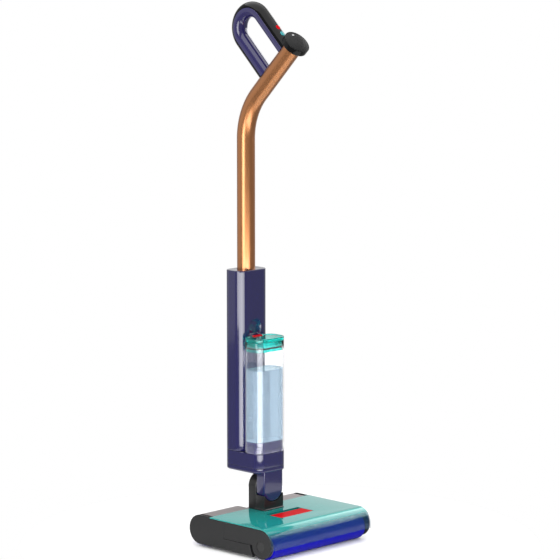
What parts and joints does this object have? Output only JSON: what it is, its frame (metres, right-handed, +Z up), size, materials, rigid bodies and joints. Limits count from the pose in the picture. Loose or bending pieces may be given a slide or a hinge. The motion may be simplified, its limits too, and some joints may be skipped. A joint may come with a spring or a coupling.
{
  "type": "wet dry floor scrubber",
  "caption": "Upright cordless wet dry floor scrubber with microfibre rollers, a clear water tank, a bent pole and a loop handle.",
  "frame": {"origin": "on the floor, below the middle of the object's bounding box", "axes": "+X across the head to its right end, -Y the front, +Z up the pole"},
  "size_m": [0.3, 0.2599, 1.1422],
  "materials": {
    "charcoal_shell": "satin charcoal moulding",
    "black_moulding": "satin black moulding",
    "black_gloss": "glossy black",
    "display_glass": "dark satin window",
    "teal_clear": "see-through teal plastic",
    "tank_clear": "clear plastic",
    "teal_gloss": "glossy teal",
    "grey_moulding": "satin warm grey",
    "red_moulding": "satin red",
    "blue_pile": "cut microfibre pile",
    "purple_gloss": "glossy dark purple",
    "violet_gloss": "glossy violet",
    "copper_tube": "copper anodised, satin",
    "steel_plain": "plain turned",
    "black_rubber": "matt rubber",
    "board_green": "circuit board",
    "cell_wrap": "shrink wrapped cells"
  },
  "bodies": {
    "head": {"head_chassis": "black_moulding", "left_side_frame": "charcoal_shell", "right_side_frame": "charcoal_shell", "rear_deck_strip": "grey_moulding", "dirty_water_tank": "black_moulding", "debris_tray": "grey_moulding", "front_drive_motor": "steel_plain", "rear_drive_motor": "steel_plain", "front_wiper": "black_rubber", "rear_wiper_left": "black_rubber", "rear_wiper_right": "black_rubber", "front_water_bar": "grey_moulding", "yoke_pivot_pin": "steel_plain", "front_drive_belt": "black_rubber", "rear_drive_belt": "black_rubber"},
    "front_cassette": {"front_roller_end_plate": "charcoal_shell", "front_roller_grip": "black_rubber"},
    "front_roller": {"front_roller_tube": "grey_moulding", "front_roller_pile": "blue_pile", "front_roller_bearing": "steel_plain"},
    "rear_cassette": {"rear_roller_end_plate": "charcoal_shell", "rear_roller_grip": "black_rubber"},
    "rear_roller": {"rear_roller_tube": "grey_moulding", "rear_roller_pile": "blue_pile", "rear_roller_bearing": "steel_plain"},
    "front_hub": {"front_drive_hub": "black_moulding"},
    "rear_hub": {"rear_drive_hub": "black_moulding"},
    "front_brush": {"front_brush_bar": "black_moulding", "front_brush_pulley": "black_moulding"},
    "rear_brush": {"rear_brush_bar": "black_moulding", "rear_brush_pulley": "black_moulding"},
    "front_motor": {"front_motor_pulley": "steel_plain"},
    "rear_motor": {"rear_motor_pulley": "steel_plain"},
    "cover": {"head_cover": "teal_clear"},
    "release": {"tray_release_button": "red_moulding"},
    "yoke": {"yoke": "black_moulding", "roll_pin": "steel_plain"},
    "upright": {"neck": "purple_gloss", "base_ring": "purple_gloss", "housing_shell": "purple_gloss", "battery_pack": "cell_wrap", "control_board": "board_green", "water_pump": "black_moulding", "tank_socket": "black_rubber", "pump_hose": "black_rubber", "pole": "copper_tube", "pole_collar": "black_moulding", "loop_grip": "violet_gloss", "loop_cover": "black_gloss", "display_housing": "black_gloss", "display_lens": "display_glass", "display_board": "board_green"},
    "power_button": {"power_button": "red_moulding"},
    "mode_button": {"mode_button": "teal_gloss"},
    "tank": {"tank_shell": "tank_clear", "tank_base": "purple_gloss", "tank_spigot": "grey_moulding"},
    "lid": {"tank_lid": "teal_clear", "tank_lid_seal": "black_rubber"},
    "latch": {"tank_latch": "red_moulding"}
  },
  "joints": [
    {"name": "upright_recline", "type": "hinge", "parent": "head", "child": "yoke", "pos_m": [0, 0.04994, 0.058], "axis": [-1, 0, 0], "range_deg": [0, 50]},
    {"name": "upright_steer", "type": "hinge", "parent": "yoke", "child": "upright", "pos_m": [0, 0.03854, 0.1155], "axis": [0, 1, 0], "range_deg": [-35, 35]},
    {"name": "cover_off", "type": "slide", "parent": "head", "child": "cover", "axis": [0, -0.7071, 0.7071], "range_m": [0, 0.2]},
    {"name": "tray_release", "type": "slide", "parent": "cover", "child": "release", "axis": [0, 1, 0], "range_m": [0, 0.007], "stiffness_N_per_m": 400},
    {"name": "tank_pull", "type": "slide", "parent": "upright", "child": "tank", "axis": [0, -1, 0], "range_m": [0, 0.15]},
    {"name": "lid_lift", "type": "slide", "parent": "tank", "child": "lid", "axis": [0, 0, 1], "range_m": [0, 0.08]},
    {"name": "latch_press", "type": "slide", "parent": "lid", "child": "latch", "axis": [0, 0, -1], "range_m": [0, 0.003], "stiffness_N_per_m": 600},
    {"name": "power_press", "type": "slide", "parent": "upright", "child": "power_button", "axis": [0, 0.7009, -0.7133], "range_m": [0, 0.0015], "stiffness_N_per_m": 800},
    {"name": "mode_press", "type": "slide", "parent": "upright", "child": "mode_button", "axis": [0, 0.7009, -0.7133], "range_m": [0, 0.0015], "stiffness_N_per_m": 800},
    {"name": "front_cassette_pull", "type": "slide", "parent": "head", "child": "front_cassette", "axis": [-1, 0, 0], "range_m": [0, 0.31]},
    {"name": "front_roller_spin", "type": "hinge", "parent": "front_cassette", "child": "front_roller", "pos_m": [0, -0.09606, 0.0297], "axis": [1, 0, 0], "continuous": true},
    {"name": "front_hub_spin", "type": "hinge", "parent": "head", "child": "front_hub", "pos_m": [0, -0.09606, 0.0297], "axis": [1, 0, 0], "continuous": true},
    {"name": "front_brush_spin", "type": "hinge", "parent": "head", "child": "front_brush", "pos_m": [0, -0.05956, 0.026], "axis": [1, 0, 0], "continuous": true},
    {"name": "front_motor_spin", "type": "hinge", "parent": "head", "child": "front_motor", "pos_m": [0, 0.02294, 0.0192], "axis": [1, 0, 0], "continuous": true},
    {"name": "rear_cassette_pull", "type": "slide", "parent": "head", "child": "rear_cassette", "axis": [1, 0, 0], "range_m": [0, 0.31]},
    {"name": "rear_roller_spin", "type": "hinge", "parent": "rear_cassette", "child": "rear_roller", "pos_m": [0, 0.08344, 0.0297], "axis": [1, 0, 0], "continuous": true},
    {"name": "rear_hub_spin", "type": "hinge", "parent": "head", "child": "rear_hub", "pos_m": [0, 0.08344, 0.0297], "axis": [1, 0, 0], "continuous": true},
    {"name": "rear_brush_spin", "type": "hinge", "parent": "head", "child": "rear_brush", "pos_m": [0, 0.04694, 0.026], "axis": [1, 0, 0], "continuous": true},
    {"name": "rear_motor_spin", "type": "hinge", "parent": "head", "child": "rear_motor", "pos_m": [0, 0.02294, 0.0192], "axis": [1, 0, 0], "continuous": true}
  ],
  "couplings": [
    {"joint": "front_hub_spin", "follows": "front_roller_spin", "ratio": 1},
    {"joint": "front_brush_spin", "follows": "front_roller_spin", "ratio": 1.2643},
    {"joint": "front_motor_spin", "follows": "front_roller_spin", "ratio": 2},
    {"joint": "rear_hub_spin", "follows": "rear_roller_spin", "ratio": 1},
    {"joint": "rear_brush_spin", "follows": "rear_roller_spin", "ratio": 2.0461},
    {"joint": "rear_motor_spin", "follows": "rear_roller_spin", "ratio": 2}
  ]
}
